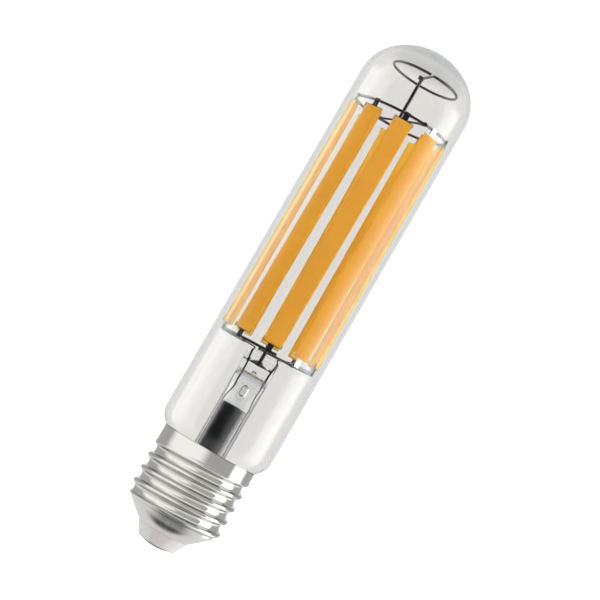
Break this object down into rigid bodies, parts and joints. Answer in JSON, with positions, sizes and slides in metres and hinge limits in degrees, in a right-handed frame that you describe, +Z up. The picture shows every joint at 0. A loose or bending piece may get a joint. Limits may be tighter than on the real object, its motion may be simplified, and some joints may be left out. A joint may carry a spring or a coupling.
{
  "type": "tubular LED filament bulb",
  "caption": "Clear tubular LED filament bulb with ten flat filaments in a ring on wire rings and a screw cap.",
  "frame": {"origin": "centre of the centre contact's face, at the bottom of the cap", "axes": "+Z up the lamp's axis to the top of the dome, X along the width of the stem's press, front towards -Y"},
  "size_m": [0.0302, 0.0302, 0.1429],
  "materials": {
    "clear_glass": "clear, polished",
    "phosphor_coat": "silicone with yellow-orange phosphor, satin",
    "clip_metal": "plated, satin",
    "dark_wire": "oxidised dark grey wire",
    "nickel_plate": "bright nickel plate",
    "pale_insulator": "moulded, semi-gloss",
    "contact_metal": "plated, satin",
    "cement": "baked basing cement, matte",
    "black_sleeve": "shrunk sleeve, gloss",
    "board_green": "solder-masked board",
    "chip_black": "moulded, matte",
    "ferrite": "dark ferrite, matte",
    "resistor_body": "dipped coating",
    "tinned_wire": "tinned"
  },
  "bodies": {
    "root": {"glass_envelope": "clear_glass", "glass_stem": "clear_glass", "exhaust_tube": "clear_glass", "filament_01": "phosphor_coat", "filament_02": "phosphor_coat", "filament_03": "phosphor_coat", "filament_04": "phosphor_coat", "filament_05": "phosphor_coat", "filament_06": "phosphor_coat", "filament_07": "phosphor_coat", "filament_08": "phosphor_coat", "filament_09": "phosphor_coat", "filament_10": "phosphor_coat", "upper_tab_01": "clip_metal", "upper_tab_02": "clip_metal", "upper_tab_03": "clip_metal", "upper_tab_04": "clip_metal", "upper_tab_05": "clip_metal", "upper_tab_06": "clip_metal", "upper_tab_07": "clip_metal", "upper_tab_08": "clip_metal", "upper_tab_09": "clip_metal", "upper_tab_10": "clip_metal", "lower_tab_01": "clip_metal", "lower_tab_02": "clip_metal", "lower_tab_03": "clip_metal", "lower_tab_04": "clip_metal", "lower_tab_05": "clip_metal", "lower_tab_06": "clip_metal", "lower_tab_07": "clip_metal", "lower_tab_08": "clip_metal", "lower_tab_09": "clip_metal", "lower_tab_10": "clip_metal", "support_post": "dark_wire", "centring_ring": "dark_wire", "upper_collector_ring": "dark_wire", "cross_bar": "dark_wire", "lower_half_ring_a": "dark_wire", "lower_half_ring_b": "dark_wire", "lead_wire_a": "dark_wire", "lead_wire_b": "dark_wire", "cap_shell": "nickel_plate", "cap_insulator": "pale_insulator", "centre_contact": "contact_metal", "basing_cement": "cement", "smoothing_capacitor": "black_sleeve", "driver_board": "board_green", "rectifier": "chip_black", "driver_ic": "chip_black", "inductor": "ferrite", "fuse_resistor": "resistor_body", "shell_lead": "tinned_wire"}
  },
  "joints": []
}
